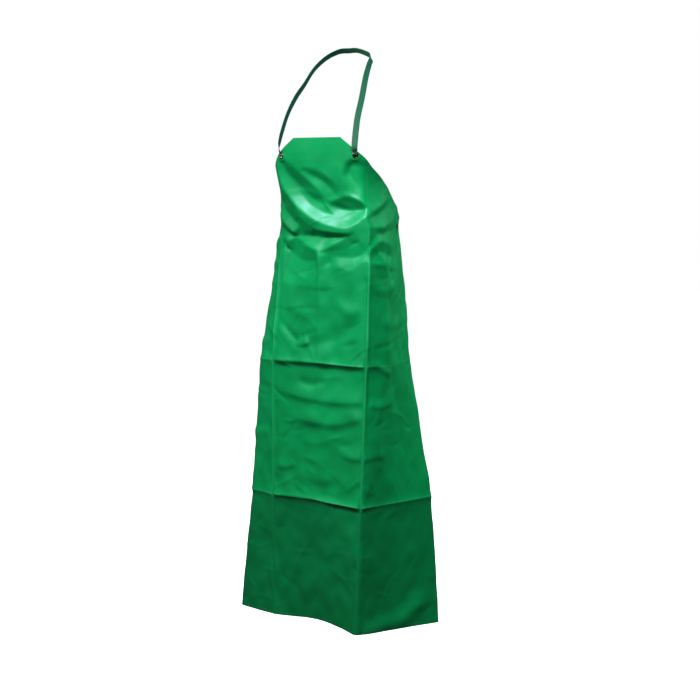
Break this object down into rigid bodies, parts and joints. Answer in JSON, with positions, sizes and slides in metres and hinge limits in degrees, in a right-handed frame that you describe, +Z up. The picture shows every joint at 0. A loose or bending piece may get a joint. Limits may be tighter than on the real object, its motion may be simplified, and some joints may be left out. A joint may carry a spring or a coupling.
{
  "type": "butcher apron",
  "caption": "Coated-fabric bib apron hanging as it is worn, with a flat neck strap held by eyelets in the bib's cut corners and open eyelets at the waist.",
  "frame": {"origin": "on the inside of the neck strap at the middle of its arch, where it lies on the wearer's nape", "axes": "+Z up, -Y the front of the apron, +X the wearer's left"},
  "size_m": [0.5325, 0.331, 1.441],
  "materials": {
    "coated_fabric": "smooth waterproof coating, semi-gloss, with storage creases",
    "strap_tape": "flat woven tape, matte",
    "eyelet_metal": "pressed and rolled, slightly dull"
  },
  "bodies": {
    "apron": {"front_sheet": "coated_fabric", "eyelet_bib_left": "eyelet_metal", "eyelet_bib_right": "eyelet_metal", "eyelet_waist_left": "eyelet_metal", "eyelet_waist_right": "eyelet_metal", "washer_bib_left": "eyelet_metal", "washer_bib_right": "eyelet_metal", "washer_waist_left": "eyelet_metal", "washer_waist_right": "eyelet_metal", "strap_knot_left": "strap_tape", "strap_knot_right": "strap_tape"},
    "strap": {"neck_strap": "strap_tape"},
    "left_panel": {"side_panel_left": "coated_fabric"},
    "right_panel": {"side_panel_right": "coated_fabric"}
  },
  "joints": [
    {"name": "strap_swing", "type": "hinge", "parent": "apron", "child": "strap", "pos_m": [-0.0002, -0.21355, -0.269], "axis": [1, 0.0084, 0], "range_deg": [-10, 60]},
    {"name": "left_panel_fold", "type": "hinge", "parent": "apron", "child": "left_panel", "pos_m": [0.1371, -0.2513, -1.1], "axis": [-0.0144, -0.0546, -0.9984], "range_deg": [-25, 40], "stiffness_Nm_per_rad": 0.15},
    {"name": "right_panel_fold", "type": "hinge", "parent": "apron", "child": "right_panel", "pos_m": [-0.1408, -0.1956, -1.1], "axis": [0, 0, 1], "range_deg": [-25, 40], "stiffness_Nm_per_rad": 0.15}
  ]
}
